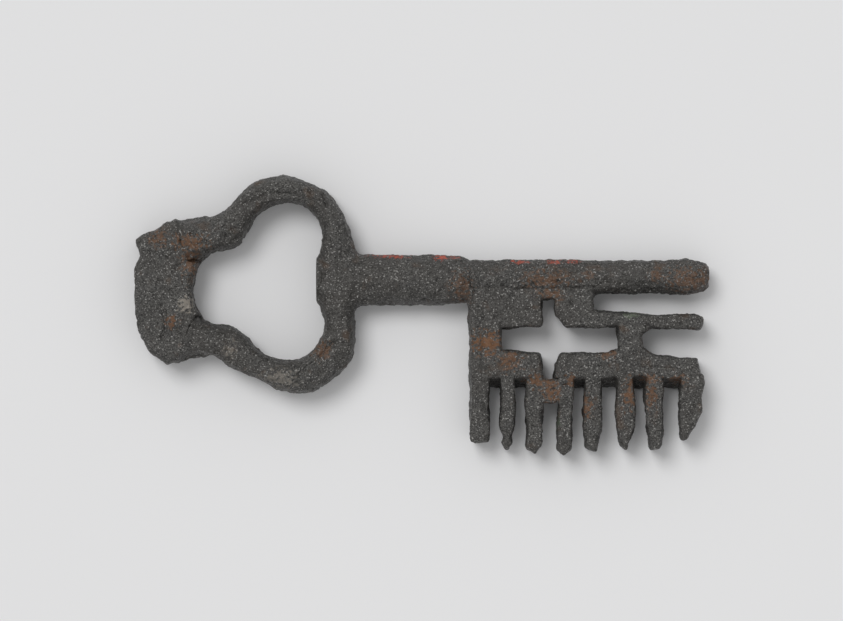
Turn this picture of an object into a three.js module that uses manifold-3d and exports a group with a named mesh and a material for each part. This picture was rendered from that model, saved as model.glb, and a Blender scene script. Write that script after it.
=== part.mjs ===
// A large forged iron key: shank, kidney-shaped bow, crown block and comb bit.
// Millimetres. The origin is the centre of the flat tip of the shank. +X runs out of the tip,
// the bit hangs to -Y and +Z is up. Every piece lies on the plane z = -restDepth.
import * as THREE from 'three';
import { mergeVertices } from 'three/addons/utils/BufferGeometryUtils.js';
import Module from 'manifold-3d';

// Driving dimensions
const clearance = 0.3;
const restDepth = 5.5;
const facets = 36;

const tipFaceRadius = 2.4;
const tipRadius = 4.2;
const tipLength = 6;
const pinRadius = 4.0;
const pinLength = 58.8;
const barrelRadius = 6.1;
const barrelFrontRadius = 5.9;
const barrelLength = 29.2;
const barrelDrop = 0.75;
const tenonRadius = 3.5;
const headRadius = 5.0;
const headThickness = 1.5;
const bowBarAtTenon = 8.7;

const bowHalfHeight = 5.8;
const bowSquareness = 0.7;
const bowSteps = 78;
const bowSides = 14;

const crownTop = 5.2;
const crownBevel = 1.1;
const lapReach = 35.6;

const bitThickness = 8.8;
const bitBevel = 0.35;
const saddleTop = -3.0;
const slotEndUpper = -24.4;
const slotEndLower = -27.3;

const wasm = await Module();
wasm.setup();

function toSolid(geometry) {
  const bare = geometry.clone();
  bare.deleteAttribute('normal');
  bare.deleteAttribute('uv');
  const merged = mergeVertices(bare, 1e-4);
  const vertProperties = new Float32Array(merged.attributes.position.array);
  const triVerts = new Uint32Array(merged.index.array);
  return new wasm.Manifold(new wasm.Mesh({ numProp: 3, vertProperties, triVerts }));
}

function toMesh(solid, name, material) {
  const data = solid.getMesh();
  const geometry = new THREE.BufferGeometry();
  geometry.setAttribute('position', new THREE.BufferAttribute(data.vertProperties, 3));
  geometry.setIndex(new THREE.BufferAttribute(data.triVerts, 1));
  geometry.computeVertexNormals();
  const mesh = new THREE.Mesh(geometry, material);
  mesh.name = name;
  return mesh;
}

// A block between two corners.
function block(low, high) {
  const geometry = new THREE.BoxGeometry(high[0] - low[0], high[1] - low[1], high[2] - low[2]);
  geometry.translate((low[0] + high[0]) / 2, (low[1] + high[1]) / 2, (low[2] + high[2]) / 2);
  return toSolid(geometry);
}

// An outline in the XY plane raised from z = bottom to z = top, its edges eased by a bevel.
function plate(outline, bottom, top, bevel, hole) {
  const shape = new THREE.Shape(outline.map(([x, y]) => new THREE.Vector2(x, y)));
  if (hole) {
    shape.holes.push(new THREE.Path(hole.map(([x, y]) => new THREE.Vector2(x, y))));
  }
  const geometry = new THREE.ExtrudeGeometry(shape, {
    depth: top - bottom - 2 * bevel,
    bevelEnabled: bevel > 0,
    bevelThickness: bevel,
    bevelSize: bevel,
    bevelOffset: -bevel,
    bevelSegments: 1,
    steps: 1,
  });
  geometry.translate(0, 0, bottom + bevel);
  return toSolid(geometry);
}

// A turned profile of [x, radius] pairs about a line along X at height y.
function turned(profile, y) {
  const points = profile.map(([x, radius]) => new THREE.Vector2(radius, x));
  const geometry = new THREE.LatheGeometry(points, facets);
  geometry.rotateZ(-Math.PI / 2);
  geometry.translate(0, y, 0);
  return toSolid(geometry);
}

// Everything below the rest plane is forged flat.
const reach = 200;
const belowRest = block([-reach, -reach, -reach], [reach, reach, -restDepth]);

// Shank: pin with an upset tip, thicker barrel, tenon and peened head.
const barrelFront = -pinLength;
const barrelRear = barrelFront - barrelLength;
const headFront = barrelRear - bowBarAtTenon + headThickness;
const headRear = headFront - headThickness;

function shankSolid(extra) {
  const pin = turned([
    [barrelFront - 1, 0],
    [barrelFront - 1, pinRadius + extra],
    [-tipLength * 3, pinRadius + extra],
    [-tipLength * 2, pinRadius - 0.25 + extra],
    [-tipLength, tipRadius + extra],
    [-tipLength / 2, tipRadius - 0.1 + extra],
    [-0.8, tipFaceRadius + 0.9 + extra],
    [extra, tipFaceRadius + extra],
    [extra, 0],
  ], 0);
  const barrel = turned([
    [headRear - extra, 0],
    [headRear - extra, headRadius - 0.8 + extra],
    [headFront - 0.6 - extra, headRadius + extra],
    [headFront + extra, headRadius + extra],
    [headFront + extra, tenonRadius + extra],
    [barrelRear - extra, tenonRadius + extra],
    [barrelRear - extra, barrelRadius + extra],
    [barrelFront - 2, barrelFrontRadius + extra],
    [barrelFront + extra, barrelFrontRadius - 1.0 + extra],
    [barrelFront + extra, 0],
  ], -barrelDrop);
  return pin.add(barrel);
}

function makeShank() {
  return shankSolid(0).subtract(belowRest);
}

// The bow's points are measured from the barrel's rear end, so the bow follows the shank.
const lapEnd = barrelRear - lapReach;

function fromBarrel(points) {
  return points.map(([x, y]) => [barrelRear + x, y]);
}

// Bow loop: a bar lofted along pairs of outer and inner points, from the crown's upper end
// clockwise to its lower end. The section is a squared oval.
const bowOuter = fromBarrel([
  [-42.0, 13.5], [-36.6, 14.0], [-30.2, 16.2], [-26.8, 19.9], [-22.3, 23.3], [-16.9, 24.6],
  [-10.8, 23.3], [-5.4, 20.8], [-1.7, 15.4], [0.7, 9.1], [1.7, -0.7], [1.1, -10.1],
  [1.0, -18.4], [-2.7, -24.0], [-9.1, -27.8], [-15.2, -28.3], [-22.3, -25.0], [-28.5, -22.3],
  [-32.9, -19.4], [-37.5, -18.6], [-41.5, -20.1],
]);
const bowInner = fromBarrel([
  [-39.0, 3.7], [-35.3, 5.4], [-27.5, 7.8], [-24.3, 12.5], [-21.4, 16.2], [-16.5, 18.1],
  [-11.6, 17.7], [-7.9, 14.7], [-6.4, 11.0], [-7.1, 5.4], [-7.8, -0.7], [-7.1, -6.4],
  [-5.9, -11.0], [-7.1, -15.9], [-11.3, -19.9], [-15.5, -20.6], [-21.4, -18.6], [-25.3, -15.0],
  [-29.2, -12.0], [-35.1, -11.5], [-37.5, -9.6],
]);

function smoothCurve(points) {
  return new THREE.CatmullRomCurve3(points.map(([x, y]) => new THREE.Vector3(x, y, 0)));
}

function squaredOval(angle) {
  const across = Math.sign(Math.cos(angle)) * Math.abs(Math.cos(angle)) ** bowSquareness;
  const up = Math.sign(Math.sin(angle)) * Math.abs(Math.sin(angle)) ** bowSquareness;
  return [across, up];
}

function bowBar() {
  const outer = smoothCurve(bowOuter);
  const inner = smoothCurve(bowInner);
  const positions = [];
  for (let step = 0; step <= bowSteps; step += 1) {
    const a = outer.getPoint(step / bowSteps);
    const b = inner.getPoint(step / bowSteps);
    const centre = a.clone().add(b).multiplyScalar(0.5);
    const half = a.clone().sub(b).multiplyScalar(0.5);
    for (let side = 0; side < bowSides; side += 1) {
      const [across, up] = squaredOval(((side + 0.5) / bowSides) * 2 * Math.PI);
      positions.push(centre.x + half.x * across, centre.y + half.y * across, bowHalfHeight * up);
    }
  }
  const index = [];
  for (let step = 0; step < bowSteps; step += 1) {
    for (let side = 0; side < bowSides; side += 1) {
      const next = (side + 1) % bowSides;
      const here = step * bowSides;
      const there = here + bowSides;
      index.push(here + side, here + next, there + next);
      index.push(here + side, there + next, there + side);
    }
  }
  const last = bowSteps * bowSides;
  for (let side = 1; side < bowSides - 1; side += 1) {
    index.push(0, side + 1, side);
    index.push(last, last + side, last + side + 1);
  }
  const geometry = new THREE.BufferGeometry();
  geometry.setAttribute('position', new THREE.Float32BufferAttribute(positions, 3));
  geometry.setIndex(index);
  return toSolid(geometry);
}

// The loop keeps the upper half of each lap, the crown the lower half.
function makeBowLoop() {
  const lowerHalf = block([-reach, -reach, -reach], [lapEnd + clearance, reach, clearance / 2]);
  return bowBar().subtract(lowerHalf).subtract(shankSolid(clearance)).subtract(belowRest);
}

const crownOutline = fromBarrel([
  [-52.3, -6.4], [-51.5, -13.0], [-48.8, -17.9], [-44.4, -21.1], [-40.0, -19.9], [-lapReach, -18.9],
  [-lapReach, -11.3], [-37.8, -6.9], [-38.6, -2.7], [-37.3, 2.9], [-lapReach, 5.1], [-lapReach, 14.0],
  [-44.7, 13.5], [-46.9, 11.6], [-50.4, 10.0], [-51.9, 9.0], [-50.8, 4.9], [-52.3, 1.7],
]);

// The step that takes one end of the loop. side is 1 at the upper end and -1 at the lower.
function lapStep(outerEnd, innerEnd, side) {
  const beyond = 8;
  return plate([
    [outerEnd[0] - clearance, outerEnd[1] + side * beyond],
    [outerEnd[0] - clearance, outerEnd[1]],
    [innerEnd[0] - 2 * clearance, innerEnd[1] - side * clearance],
    [lapEnd + beyond, innerEnd[1] - side * clearance],
    [lapEnd + beyond, outerEnd[1] + side * beyond],
  ], -clearance / 2, crownTop + beyond, 0);
}

function makeCrown() {
  const last = bowOuter.length - 1;
  return plate(crownOutline, -restDepth, crownTop, crownBevel)
    .subtract(lapStep(bowOuter[0], bowInner[0], 1))
    .subtract(lapStep(bowOuter[last], bowInner[last], -1));
}

// Bit: the web with its ward cuts, then the teeth of the comb.
const bitRear = barrelFront + clearance;
const webOutline = [
  [bitRear, saddleTop], [bitRear, -8.6], [-58.1, -16.7], [-58.1, slotEndLower], [-1.7, slotEndLower],
  [-2.7, -20.1], [-13.0, -19.4], [-16.4, -17.4], [-16.4, -13.7], [-14.2, -12.5], [-2.2, -12.5],
  [-1.5, -10.5], [-2.5, -9.6], [-16.7, -9.3], [-28.4, -8.3], [-28.4, saddleTop],
];
const wardWindow = [
  [-51.0, -12.5], [-40.9, -11.9], [-40.9, -5.4], [-37.5, -5.4], [-37.3, -9.3], [-34.8, -12.1],
  [-22.1, -12.0], [-21.7, -17.9], [-24.5, -18.6], [-36.3, -18.8], [-37.5, -21.6], [-37.8, -25.2],
  [-40.5, -25.2], [-40.9, -21.8], [-41.4, -18.9], [-51.0, -18.1],
];
const linkOutline = [[-42, -25.2], [-36, -25.2], [-36, -30.4], [-42, -30.4]];
const toothRoot = -24;
const toothOutlines = [
  [[-58.1, toothRoot], [-58.1, -40.2], [-53.9, -40.2], [-53.9, toothRoot]],
  [[-50.8, toothRoot], [-50.8, -36.3], [-50.0, -39.2], [-50.5, -40.7], [-49.3, -42.2],
    [-48.1, -40.7], [-48.3, -39.2], [-47.6, -36.3], [-47.6, toothRoot]],
  [[-44.4, toothRoot], [-44.5, -41.9], [-42.4, -43.4], [-40.9, -40.2], [-40.7, toothRoot]],
  [[-36.5, toothRoot], [-36.8, -41.9], [-35.6, -43.6], [-33.8, -42.4], [-33.3, -30.2], [-33.1, toothRoot]],
  [[-29.9, toothRoot], [-30.6, -33.3], [-29.7, -41.7], [-27.5, -42.8], [-26.5, -36.3], [-26.5, toothRoot]],
  [[-22.3, toothRoot], [-22.6, -33.8], [-21.3, -41.4], [-20.1, -42.2], [-18.1, -36.3], [-18.4, toothRoot]],
  [[-15.4, toothRoot], [-15.4, -30.9], [-14.2, -42.4], [-11.8, -41.9], [-11.3, -37.5], [-11.3, toothRoot]],
  [[-6.6, toothRoot], [-7.1, -33.8], [-6.6, -40.0], [-5.4, -39.5], [-3.9, -36.8], [-1.7, -32.6],
    [-1.5, toothRoot]],
];

// The ends of the comb's slots slant: they lie further out at the lower face.
function slotEnds() {
  const half = bitThickness / 2;
  const far = slotEndLower - 5;
  const shape = new THREE.Shape([
    new THREE.Vector2(slotEndUpper, half),
    new THREE.Vector2(slotEndUpper, half + 1),
    new THREE.Vector2(far, half + 1),
    new THREE.Vector2(far, -half - 1),
    new THREE.Vector2(slotEndLower, -half - 1),
    new THREE.Vector2(slotEndLower, -half),
  ]);
  const geometry = new THREE.ExtrudeGeometry(shape, { depth: reach, bevelEnabled: false });
  geometry.applyMatrix4(new THREE.Matrix4().set(0, 0, 1, -reach, 1, 0, 0, 0, 0, 1, 0, 0, 0, 0, 0, 1));
  return toSolid(geometry);
}

function makeBit() {
  const half = bitThickness / 2;
  let bit = plate(webOutline, -half, half, bitBevel, wardWindow).subtract(slotEnds());
  bit = bit.add(plate(linkOutline, -half, half, bitBevel));
  for (const outline of toothOutlines) {
    bit = bit.add(plate(outline, -half, half, bitBevel));
  }
  return bit.subtract(shankSolid(clearance));
}

const iron = new THREE.MeshStandardMaterial({ color: 0x4b4a48, roughness: 0.8, metalness: 0.4 });
const darkIron = new THREE.MeshStandardMaterial({ color: 0x42413f, roughness: 0.85, metalness: 0.4 });
const rustIron = new THREE.MeshStandardMaterial({ color: 0x54483f, roughness: 0.85, metalness: 0.35 });

const group = new THREE.Group();
group.add(toMesh(makeShank(), 'shank', iron));
group.add(toMesh(makeBowLoop(), 'bow_loop', iron));
group.add(toMesh(makeCrown(), 'bow_crown', darkIron));
group.add(toMesh(makeBit(), 'bit', rustIron));

export default group;
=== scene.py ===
# Looks for a forged iron key: four corroded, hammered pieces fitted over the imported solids.
import math

import bpy
import numpy as np
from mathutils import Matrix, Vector, noise
from mathutils.bvhtree import BVHTree


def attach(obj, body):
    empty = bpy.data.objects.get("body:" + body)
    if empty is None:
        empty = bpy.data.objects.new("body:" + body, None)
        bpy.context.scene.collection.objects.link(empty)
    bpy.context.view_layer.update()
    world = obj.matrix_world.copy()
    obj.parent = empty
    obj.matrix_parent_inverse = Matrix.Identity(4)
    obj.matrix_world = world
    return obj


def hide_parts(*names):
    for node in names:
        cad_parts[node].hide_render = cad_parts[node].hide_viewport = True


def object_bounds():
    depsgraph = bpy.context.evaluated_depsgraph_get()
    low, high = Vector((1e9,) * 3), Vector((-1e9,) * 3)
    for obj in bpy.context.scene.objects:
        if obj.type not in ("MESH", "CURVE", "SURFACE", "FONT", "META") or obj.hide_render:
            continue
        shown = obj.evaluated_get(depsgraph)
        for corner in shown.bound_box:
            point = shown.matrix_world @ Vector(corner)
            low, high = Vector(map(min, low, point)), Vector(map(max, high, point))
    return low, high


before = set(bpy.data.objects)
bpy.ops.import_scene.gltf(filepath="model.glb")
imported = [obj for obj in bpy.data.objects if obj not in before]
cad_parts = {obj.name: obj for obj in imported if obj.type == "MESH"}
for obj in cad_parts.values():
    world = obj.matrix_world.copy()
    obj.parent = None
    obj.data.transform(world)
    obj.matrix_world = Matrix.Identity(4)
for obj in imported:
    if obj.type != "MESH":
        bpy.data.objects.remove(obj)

MM = 0.001
cad_low, cad_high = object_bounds()

# The photograph's frame, in pixels, and the real size of one pixel
FRAME_WIDTH = 843
FRAME_HEIGHT = 621
PIXEL = 0.2452 * MM
TIP_PIXEL_X = 708
TIP_PIXEL_Y = 277
CAMERA_HEIGHT = 1.2

# Each node that a forged piece covers, with a material slot name that nothing reads
SLOTS = {
    "shank": "shank_iron",
    "bow_loop": "bow_iron",
    "bow_crown": "crown_iron",
    "bit": "bit_iron",
}

# The fine mesh of a piece, and how much its sharp edges are worn
VOXEL = 0.28 * MM
WELD_DISTANCE = 0.001 * MM
WEAR_FACTOR = 0.5
WEAR_PASSES = 3

# Swelling by corrosion: everywhere, and more where a neighbouring piece is within reach
SWELL = 0.16 * MM
SEAM_REACH = 1.7 * MM
SEAM_SWELL = 0.85 * MM

# Where the corroded surface stops: ends and top of the key, the peened head, the table
OVERRUN = 0.2 * MM
TOP_LIMIT = cad_high[2] + OVERRUN
HEAD_END = -96.0 * MM
REST_Z = cad_low[2]

# Layers of the corroded surface: (waves per metre, shift of the noise, height in millimetres)
ROUGH_LAYERS = {
    "dents": (170, (0, 0, 0), 0.50),
    "scale": (430, (7, 3, 1), 0.34),
    "grain": (1150, (2, 9, 4), 0.16),
    "fine grain": (2300, (8, 6, 3), 0.09),
}

# Pits are cut only where their noise is above a level
PIT_WAVES = 700
PIT_SHIFT = (5, 1, 8)
PIT_LEVEL = 0.25
PIT_DEPTH = 1.0

# A loose flake on the shank: an oval crease, in millimetres
FLAKE_CENTRE = (-31.4, 0.2)
FLAKE_RADII = (6.6, 2.9)
FLAKE_STEPS = 20


def ellipse(centre, radii, steps):
    """Points round an ellipse, back to the first."""
    turns = [math.tau * step / steps for step in range(steps + 1)]
    return [(centre[0] + radii[0] * math.cos(turn), centre[1] + radii[1] * math.sin(turn)) for turn in turns]


# Worn shapes on the upper face, in millimetres: (points along the mark, half width, height).
# A negative height is a crease, a positive one a ridge.
MARKS = {
    "bow_loop": [
        # Upper lobe: a ridge that runs down to the shank, a crease inside it, a crack and a dent
        ([(-114, 19.6), (-109.4, 22.6), (-103.7, 23), (-98.8, 22.8), (-94.6, 21.3)], 1.1, 0.45),
        ([(-94.6, 21.3), (-92.7, 15.9), (-91.7, 9.1), (-91.2, 5.4)], 1.0, 0.4),
        ([(-112.4, 18.0), (-107.5, 20.2), (-101.5, 20.4), (-96.8, 18.6)], 0.7, -0.5),
        ([(-94.4, 19.9), (-93.4, 17.4)], 0.35, -0.9),
        ([(-117.6, 10.4), (-115.0, 9.4)], 1.3, -0.7),
        # Lower lobe: a ridge and a hollow by the crown, then a crease with a raised lip, and a swelling
        ([(-123.3, -13.2), (-118.4, -13.4)], 0.6, 0.4),
        ([(-119.4, -14.4), (-115.6, -16.2)], 0.9, -0.6),
        ([(-100.2, -23.9), (-95.6, -20.0), (-91.4, -15.9)], 0.55, -0.65),
        ([(-99.0, -25.4), (-94.0, -21.6), (-90.4, -17.6)], 0.6, 0.4),
        ([(-107.2, -24.4), (-101.2, -25.4)], 1.4, 0.3),
    ],
    "bow_crown": [
        ([(-133.1, -8.8), (-132.8, -12), (-133.4, -15.2)], 0.5, -0.7),
        ([(-137.6, 6.0), (-133.0, 4.4), (-129.4, 6.4)], 0.9, -0.35),
        ([(-129.2, -5.2), (-127.4, -7.6)], 1.1, 0.35),
    ],
    "shank": [
        ([(-86, 2.0), (-74, 2.4), (-62, 1.9)], 0.8, -0.18),
        ([(-52, 1.3), (-44, 1.9)], 0.6, -0.25),
        (ellipse(FLAKE_CENTRE, FLAKE_RADII, FLAKE_STEPS), 0.35, -0.35),
    ],
    "bit": [
        ([(-55.6, -10), (-55.0, -22)], 0.7, -0.25),
        ([(-34, -22.4), (-22, -21.6), (-8, -22.8)], 0.6, -0.25),
    ],
}

# A mark is full on a face that looks up and fades as it turns aside; a larger gain fades later
UPWARD_GAIN = 1.5

# Stains, in millimetres: (x, y, half length, half width, strength)
RUST = [
    (-60.3, -2.7, 2.0, 3.0, 0.5), (-39.5, -0.5, 4.5, 1.6, 0.6), (-38.7, -4.2, 2.5, 1.2, 0.6),
    (-53.9, -16.2, 3.2, 2.2, 0.95), (-48.8, -20.3, 2.3, 1.9, 0.7), (-42.2, -25.3, 2.1, 1.3, 0.8),
    (-39.0, -27.7, 1.7, 2.5, 0.8), (-33.8, -25.3, 1.0, 1.3, 0.7), (-29.7, -31.6, 1.0, 2.2, 0.7),
    (-19.4, -28.7, 1.2, 2.8, 0.8), (-14.0, -28.9, 1.1, 2.6, 0.7), (-14.7, -24.8, 2.0, 0.8, 0.6),
    (-7.4, -25.3, 1.7, 1.0, 0.6), (-25.0, -18.9, 1.6, 0.9, 0.6), (-13.0, 0.5, 1.3, 1.3, 0.5),
    (-4.4, -0.7, 4.3, 2.4, 0.55), (-29.4, 0.5, 1.2, 0.8, 0.4), (-94.6, -18.1, 1.7, 1.7, 0.6),
    (-131.4, -10.8, 1.2, 1.2, 0.8), (-134.6, 9.6, 1.6, 1.7, 0.6), (-126.8, 8.3, 3.3, 1.8, 0.7),
    (-126.8, 3.7, 1.6, 3.2, 0.6),
]
PALE = [
    (-127.7, -6.6, 1.4, 1.6, 0.7), (-104.5, -24.8, 3.2, 1.7, 0.35), (-117.0, -17.8, 1.2, 1.6, 0.35),
]
GREEN = [
    (-19.0, -9.3, 1.4, 0.8, 0.5), (-37.0, -35.8, 0.5, 1.3, 0.5),
]
RED = [
    (-78.5, 5.0, 3.4, 0.6, 0.7), (-65.5, 4.6, 1.3, 0.9, 1.0), (-62.0, 4.7, 0.8, 0.5, 0.7),
    (-45.9, 3.7, 1.7, 0.4, 0.7), (-37.8, 3.7, 1.6, 0.4, 0.7), (-33.3, 3.8, 1.2, 0.4, 0.6),
]

# Height of a stain's centre and its half depth, in millimetres
UPPER_STAIN = (4.4, 5.0)
EDGE_STAIN = (1.6, 1.5)

# The stains in the order that they are laid: (patches, height and depth, colour)
STAINS = [
    (RUST, UPPER_STAIN, (0.135, 0.062, 0.026)),
    (PALE, UPPER_STAIN, (0.30, 0.27, 0.23)),
    (GREEN, UPPER_STAIN, (0.11, 0.14, 0.09)),
    (RED, EDGE_STAIN, (0.42, 0.075, 0.04)),
]

# A stain is full within its core and gone at its rim, as shares of its half sizes.
# Noise between the two levels pushes a point in or out by the shares below them.
STAIN_CORE = 0.3
STAIN_RIM = 1.6
RAGGED_LEVELS = (0.25, 0.75)
RAGGED_PUSH = (-1.1, 1.3)

# Noise fields of the iron: (size of a spot in millimetres, detail, shift)
FIELDS = {
    "broad": (9.0, 3.0, 0.0),
    "patchy": (2.6, 4.0, 0.31),
    "grain": (0.75, 3.0, 0.77),
    # Noise for the bright specks: partly pale grains, partly painted glints
    "speck_and_glint": (0.42, 2.0, 0.53),
    "fine": (0.33, 3.0, 0.41),
    "haze": (4.2, 4.0, 0.91),
    "ragged": (0.8, 5.0, 0.15),
}

# The ground runs from dark to light as the fine noise goes from one level to the other
GROUND_DARK = (0.016, 0.0153, 0.0145)
GROUND_LIGHT = (0.092, 0.089, 0.083)
GROUND_LEVELS = (0.36, 0.62)

# Tones laid over the ground in turn: (noise field, level where it starts, level where it is full, strength,
# colour):
# smoky patches, brown-black areas, grey grain, bright specks (pale grains and painted glints) and a haze of
# rust
TONES = [
    ("patchy", 0.40, 0.70, 0.5, (0.030, 0.029, 0.028)),
    ("broad", 0.40, 0.68, 0.5, (0.042, 0.038, 0.034)),
    ("grain", 0.52, 0.70, 0.4, (0.115, 0.112, 0.106)),
    # Bright specks: pale grains mixed with painted glints, laid as colour over the whole surface
    ("speck_and_glint", 0.60, 0.69, 0.7, (0.38, 0.372, 0.355)),
    ("haze", 0.58, 0.74, 0.4, (0.085, 0.048, 0.026)),
]

# The iron's gloss: roughness from one value to the other between two levels of the patchy noise
GLOSS_LEVELS = (0.3, 0.7)
GLOSS_ROUGHNESS = (0.60, 0.38)
METALLIC = 0.25
SPECULAR = 0.4
BUMP_STRENGTH = 0.85
BUMP_HEIGHT = 0.3 * MM

# Paper under the key
PAPER_HALF_WIDTH = 3.0
PAPER_COLOUR = (0.74, 0.74, 0.745)
PAPER_ROUGHNESS = 0.9
PAPER_SPECULAR = 0.1

# A soft lamp from the upper left and an even sky
LAMP_STRENGTH = 1.45
LAMP_SPREAD = math.radians(28)
LAMP_DIRECTION = (0.36, -0.42, -0.95)
SKY_COLOUR = (1, 1, 1)
SKY_STRENGTH = 0.6

# Places of a colour mix's sockets, whose names are shared with its sockets for numbers
MIX_FIRST = 6
MIX_SECOND = 7
MIX_RESULT = 2


def distance_to_path(points, path):
    """Each point's distance in the XY plane to a path given in millimetres."""
    best = np.full(len(points), np.inf)
    for start, end in zip(path[:-1], path[1:]):
        start = np.array(start) * MM
        leg = np.array(end) * MM - start
        along = np.clip((points[:, :2] - start) @ leg / (leg @ leg), 0, 1)
        nearest = start + along[:, None] * leg
        best = np.minimum(best, np.linalg.norm(points[:, :2] - nearest, axis=1))
    return best


def forged_copy(node):
    """A finely meshed copy of a node's solid, with its sharp edges worn."""
    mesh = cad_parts[node].data.copy()
    piece = bpy.data.objects.new("forged_" + node, mesh)
    bpy.context.scene.collection.objects.link(piece)
    weld = piece.modifiers.new("weld", "WELD")
    weld.merge_threshold = WELD_DISTANCE
    remesh = piece.modifiers.new("remesh", "REMESH")
    remesh.mode = "VOXEL"
    remesh.voxel_size = VOXEL
    smooth = piece.modifiers.new("smooth", "SMOOTH")
    smooth.factor = WEAR_FACTOR
    smooth.iterations = WEAR_PASSES
    graph = bpy.context.evaluated_depsgraph_get()
    worn = bpy.data.meshes.new_from_object(piece.evaluated_get(graph))
    piece.modifiers.clear()
    piece.data = worn
    return piece


def noise_at(place, waves, shift):
    """Noise of one wave length at a place, shifted so that no two layers line up."""
    return noise.noise(place * waves + Vector(shift))


def corroded_height(place):
    """Height of the corroded surface at a place, in metres: dents, scale, grain and pits."""
    height = 0.0
    for waves, shift, share in ROUGH_LAYERS.values():
        height += share * noise_at(place, waves, shift)
    pit = max(0.0, noise_at(place, PIT_WAVES, PIT_SHIFT) - PIT_LEVEL)
    return (height - PIT_DEPTH * pit) * MM


def surface_tree(mesh):
    """A tree of a solid's faces, which finds the surface nearest to a point."""
    corners = [vertex.co for vertex in mesh.vertices]
    faces = [polygon.vertices[:] for polygon in mesh.polygons]
    return BVHTree.FromPolygons(corners, faces)


SURFACES = {name: surface_tree(node.data) for name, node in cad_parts.items()}


def seam_swell(points, node):
    """Extra swelling near the neighbouring pieces, which closes the forged seams."""
    trees = [tree for name, tree in SURFACES.items() if name != node]
    extra = np.zeros(len(points))
    for number, point in enumerate(points):
        for tree in trees:
            # The fourth value that a tree gives is the distance
            gap = tree.find_nearest(point, SEAM_REACH)[3]
            if gap is not None:
                extra[number] = max(extra[number], SEAM_SWELL * (1 - gap / SEAM_REACH))
    return extra


def roughen(piece, node):
    """Moves the copy's surface: swelling and corrosion along it, then marks on the upper face."""
    mesh = piece.data
    count = len(mesh.vertices)
    points = np.empty(count * 3)
    normals = np.empty(count * 3)
    mesh.vertices.foreach_get("co", points)
    mesh.vertices.foreach_get("normal", normals)
    points = points.reshape(-1, 3)
    normals = normals.reshape(-1, 3)
    height = np.array([corroded_height(Vector(point)) for point in points]) + SWELL
    height += seam_swell(points, node)
    moved = points + normals * height[:, None]
    upper = np.clip(normals[:, 2] * UPWARD_GAIN, 0, 1) * (points[:, 2] > 0)
    for path, half_width, depth in MARKS[node]:
        near = np.exp(-((distance_to_path(points, path) / (half_width * MM)) ** 2))
        moved[:, 2] += depth * MM * near * upper
    moved[:, 0] = np.clip(moved[:, 0], cad_low[0] - OVERRUN, cad_high[0] + OVERRUN)
    if node == "shank":
        moved[:, 0] = np.maximum(moved[:, 0], HEAD_END)
    moved[:, 2] = np.clip(moved[:, 2], REST_Z, TOP_LIMIT)
    mesh.vertices.foreach_set("co", moved.ravel())
    mesh.update()
    mesh.polygons.foreach_set("use_smooth", [True] * len(mesh.polygons))


class Shading:
    """Small helpers that add and link one material's nodes."""

    def __init__(self, name):
        self.material = bpy.data.materials.new(name)
        self.material.use_nodes = True
        self.tree = self.material.node_tree
        self.shader = self.tree.nodes["Principled BSDF"]
        self.place = self.tree.nodes.new("ShaderNodeTexCoord").outputs["Object"]

    def link(self, source, target):
        """Joins an output to an input."""
        self.tree.links.new(source, target)

    def noise(self, size_mm, detail, shift):
        """Noise with spots of one size, moved aside by a shift."""
        texture = self.tree.nodes.new("ShaderNodeTexNoise")
        texture.inputs["Scale"].default_value = 1 / (size_mm * MM)
        texture.inputs["Detail"].default_value = detail
        source = self.place
        if shift:
            add = self.tree.nodes.new("ShaderNodeVectorMath")
            add.inputs[1].default_value = (shift, shift, shift)
            self.link(source, add.inputs[0])
            source = add.outputs[0]
        self.link(source, texture.inputs["Vector"])
        return texture.outputs["Fac"]

    def spread(self, value, low, high, to_low=0.0, to_high=1.0):
        """A value between two levels, spread smoothly over a new range."""
        node = self.tree.nodes.new("ShaderNodeMapRange")
        node.interpolation_type = "SMOOTHSTEP"
        self.link(value, node.inputs["Value"])
        for name, number in zip(("From Min", "From Max", "To Min", "To Max"), (low, high, to_low, to_high)):
            node.inputs[name].default_value = number
        return node.outputs["Result"]

    def math(self, operation, first, second):
        """One sum on two values, each a number or an output."""
        node = self.tree.nodes.new("ShaderNodeMath")
        node.operation = operation
        for socket, value in zip(node.inputs, (first, second)):
            if isinstance(value, (int, float)):
                socket.default_value = value
            else:
                self.link(value, socket)
        return node.outputs[0]

    def mix(self, amount, first, second):
        """Two colours mixed by an amount, each a tuple or an output."""
        node = self.tree.nodes.new("ShaderNodeMix")
        node.data_type = "RGBA"
        self.link(amount, node.inputs["Factor"])
        for socket, value in ((node.inputs[MIX_FIRST], first), (node.inputs[MIX_SECOND], second)):
            if isinstance(value, tuple):
                socket.default_value = (*value, 1)
            else:
                self.link(value, socket)
        return node.outputs[MIX_RESULT]

    def stains(self, patches, ragged, height, depth):
        """A mask of soft ellipsoids with ragged edges, centred at a height, in millimetres."""
        total = None
        for x, y, half_x, half_y, strength in patches:
            shift = self.tree.nodes.new("ShaderNodeVectorMath")
            shift.operation = "SUBTRACT"
            shift.inputs[1].default_value = (x * MM, y * MM, height * MM)
            self.link(self.place, shift.inputs[0])
            squeeze = self.tree.nodes.new("ShaderNodeVectorMath")
            squeeze.operation = "MULTIPLY"
            squeeze.inputs[1].default_value = (1 / (half_x * MM), 1 / (half_y * MM), 1 / (depth * MM))
            self.link(shift.outputs[0], squeeze.inputs[0])
            length = self.tree.nodes.new("ShaderNodeVectorMath")
            length.operation = "LENGTH"
            self.link(squeeze.outputs[0], length.inputs[0])
            far = self.math("ADD", length.outputs["Value"], ragged)
            patch = self.spread(far, STAIN_CORE, STAIN_RIM, strength, 0.0)
            total = patch if total is None else self.math("MAXIMUM", total, patch)
        return total


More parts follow.
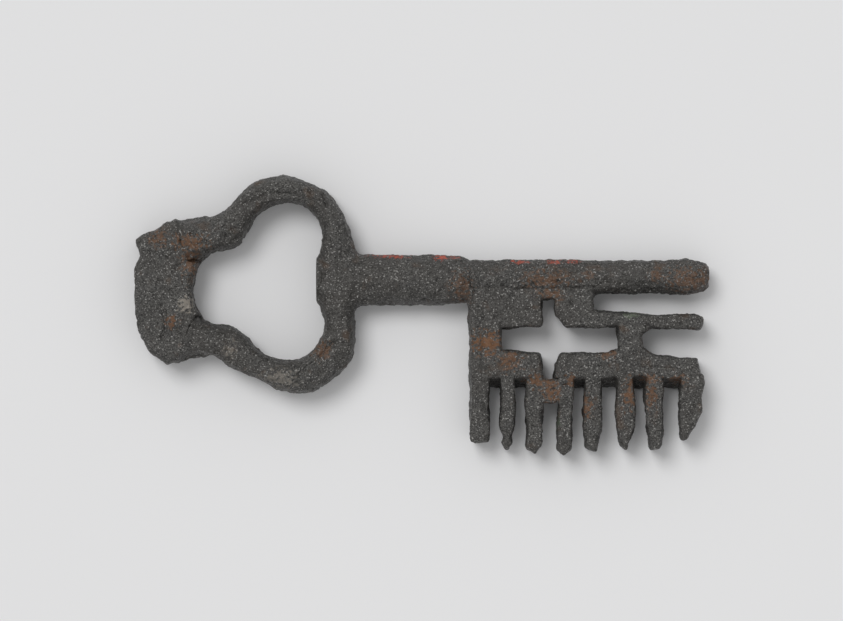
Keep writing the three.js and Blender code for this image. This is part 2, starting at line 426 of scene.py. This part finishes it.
def iron_material(name):
    """Corroded iron: a dark speckled ground, tones laid over it, and stains at their places."""
    paint = Shading(name)
    fields = {field: paint.noise(*settings) for field, settings in FIELDS.items()}
    colour = paint.mix(paint.spread(fields["fine"], *GROUND_LEVELS), GROUND_DARK, GROUND_LIGHT)
    for field, start, full, strength, tone in TONES:
        colour = paint.mix(paint.spread(fields[field], start, full, 0.0, strength), colour, tone)
    ragged = paint.spread(fields["ragged"], *RAGGED_LEVELS, *RAGGED_PUSH)
    for patches, (height, depth), tone in STAINS:
        colour = paint.mix(paint.stains(patches, ragged, height, depth), colour, tone)
    paint.link(colour, paint.shader.inputs["Base Color"])
    roughness = paint.spread(fields["patchy"], *GLOSS_LEVELS, *GLOSS_ROUGHNESS)
    paint.link(roughness, paint.shader.inputs["Roughness"])
    paint.shader.inputs["Metallic"].default_value = METALLIC
    paint.shader.inputs["Specular IOR Level"].default_value = SPECULAR
    bump = paint.tree.nodes.new("ShaderNodeBump")
    bump.inputs["Strength"].default_value = BUMP_STRENGTH
    bump.inputs["Distance"].default_value = BUMP_HEIGHT
    paint.link(paint.math("ADD", fields["grain"], fields["fine"]), bump.inputs["Height"])
    paint.link(bump.outputs["Normal"], paint.shader.inputs["Normal"])
    return paint.material


def make_floor():
    """A plain pale floor at the plane that the key lies on."""
    half = PAPER_HALF_WIDTH
    mesh = bpy.data.meshes.new("floor")
    corners = [(-half, -half, REST_Z), (half, -half, REST_Z), (half, half, REST_Z), (-half, half, REST_Z)]
    mesh.from_pydata(corners, [], [(0, 1, 2, 3)])
    floor = bpy.data.objects.new("floor", mesh)
    bpy.context.scene.collection.objects.link(floor)
    paper = bpy.data.materials.new("paper")
    paper.use_nodes = True
    shader = paper.node_tree.nodes["Principled BSDF"]
    shader.inputs["Base Color"].default_value = (*PAPER_COLOUR, 1)
    shader.inputs["Roughness"].default_value = PAPER_ROUGHNESS
    shader.inputs["Specular IOR Level"].default_value = PAPER_SPECULAR
    mesh.materials.append(paper)


def make_light():
    """A soft lamp from the upper left and an even pale sky."""
    lamp = bpy.data.lights.new("key_light", "SUN")
    lamp.energy = LAMP_STRENGTH
    lamp.angle = LAMP_SPREAD
    holder = bpy.data.objects.new("key_light", lamp)
    bpy.context.scene.collection.objects.link(holder)
    holder.rotation_euler = Vector(LAMP_DIRECTION).to_track_quat("-Z", "Y").to_euler()
    world = bpy.data.worlds.new("studio")
    world.use_nodes = True
    sky = world.node_tree.nodes["Background"]
    sky.inputs["Color"].default_value = (*SKY_COLOUR, 1)
    sky.inputs["Strength"].default_value = SKY_STRENGTH
    bpy.context.scene.world = world


def make_camera():
    """A long lens straight above, framed as the photograph."""
    lens = bpy.data.cameras.new("camera")
    lens.sensor_fit = "HORIZONTAL"
    lens.lens = lens.sensor_width * CAMERA_HEIGHT / (FRAME_WIDTH * PIXEL)
    camera = bpy.data.objects.new("camera", lens)
    bpy.context.scene.collection.objects.link(camera)
    centre_x = (FRAME_WIDTH / 2 - TIP_PIXEL_X) * PIXEL
    centre_y = (TIP_PIXEL_Y - FRAME_HEIGHT / 2) * PIXEL
    camera.location = (centre_x, centre_y, CAMERA_HEIGHT)
    bpy.context.scene.camera = camera


for node, slot in SLOTS.items():
    piece = forged_copy(node)
    roughen(piece, node)
    piece.data.materials.clear()
    piece.data.materials.append(iron_material("corroded_" + node))
    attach(piece, "root")
    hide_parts(node)

make_floor()
make_light()
make_camera()
bpy.context.scene.view_settings.view_transform = "Standard"
